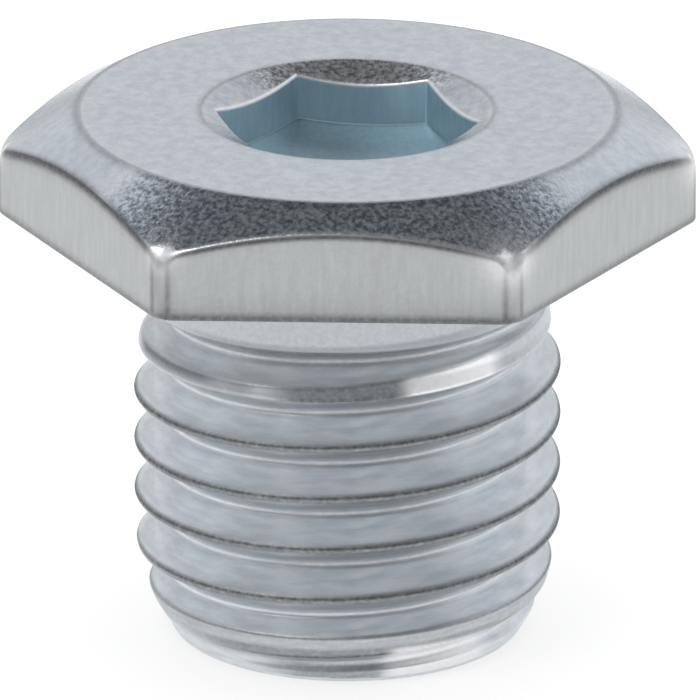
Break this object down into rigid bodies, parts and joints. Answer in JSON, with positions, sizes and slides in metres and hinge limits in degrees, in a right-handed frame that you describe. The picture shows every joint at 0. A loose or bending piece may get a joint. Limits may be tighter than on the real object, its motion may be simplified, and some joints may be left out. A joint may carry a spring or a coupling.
{
  "type": "hex socket plug",
  "caption": "Hexagon-head screw plug with a shallow hexagon socket in its chamfered head and a fine-pitch rolled thread on a short shank.",
  "frame": {"origin": "centre of the end face of the threaded shank, on the thread axis", "axes": "+Z along the thread axis from the end face up to the top of the head; a flat of the hexagon faces -Y"},
  "size_m": [0.0194, 0.017, 0.0152],
  "materials": {
    "zinc_plated_steel": "bright zinc plating on cold-formed steel, satin"
  },
  "bodies": {
    "root": {"plug": "zinc_plated_steel"}
  },
  "joints": []
}
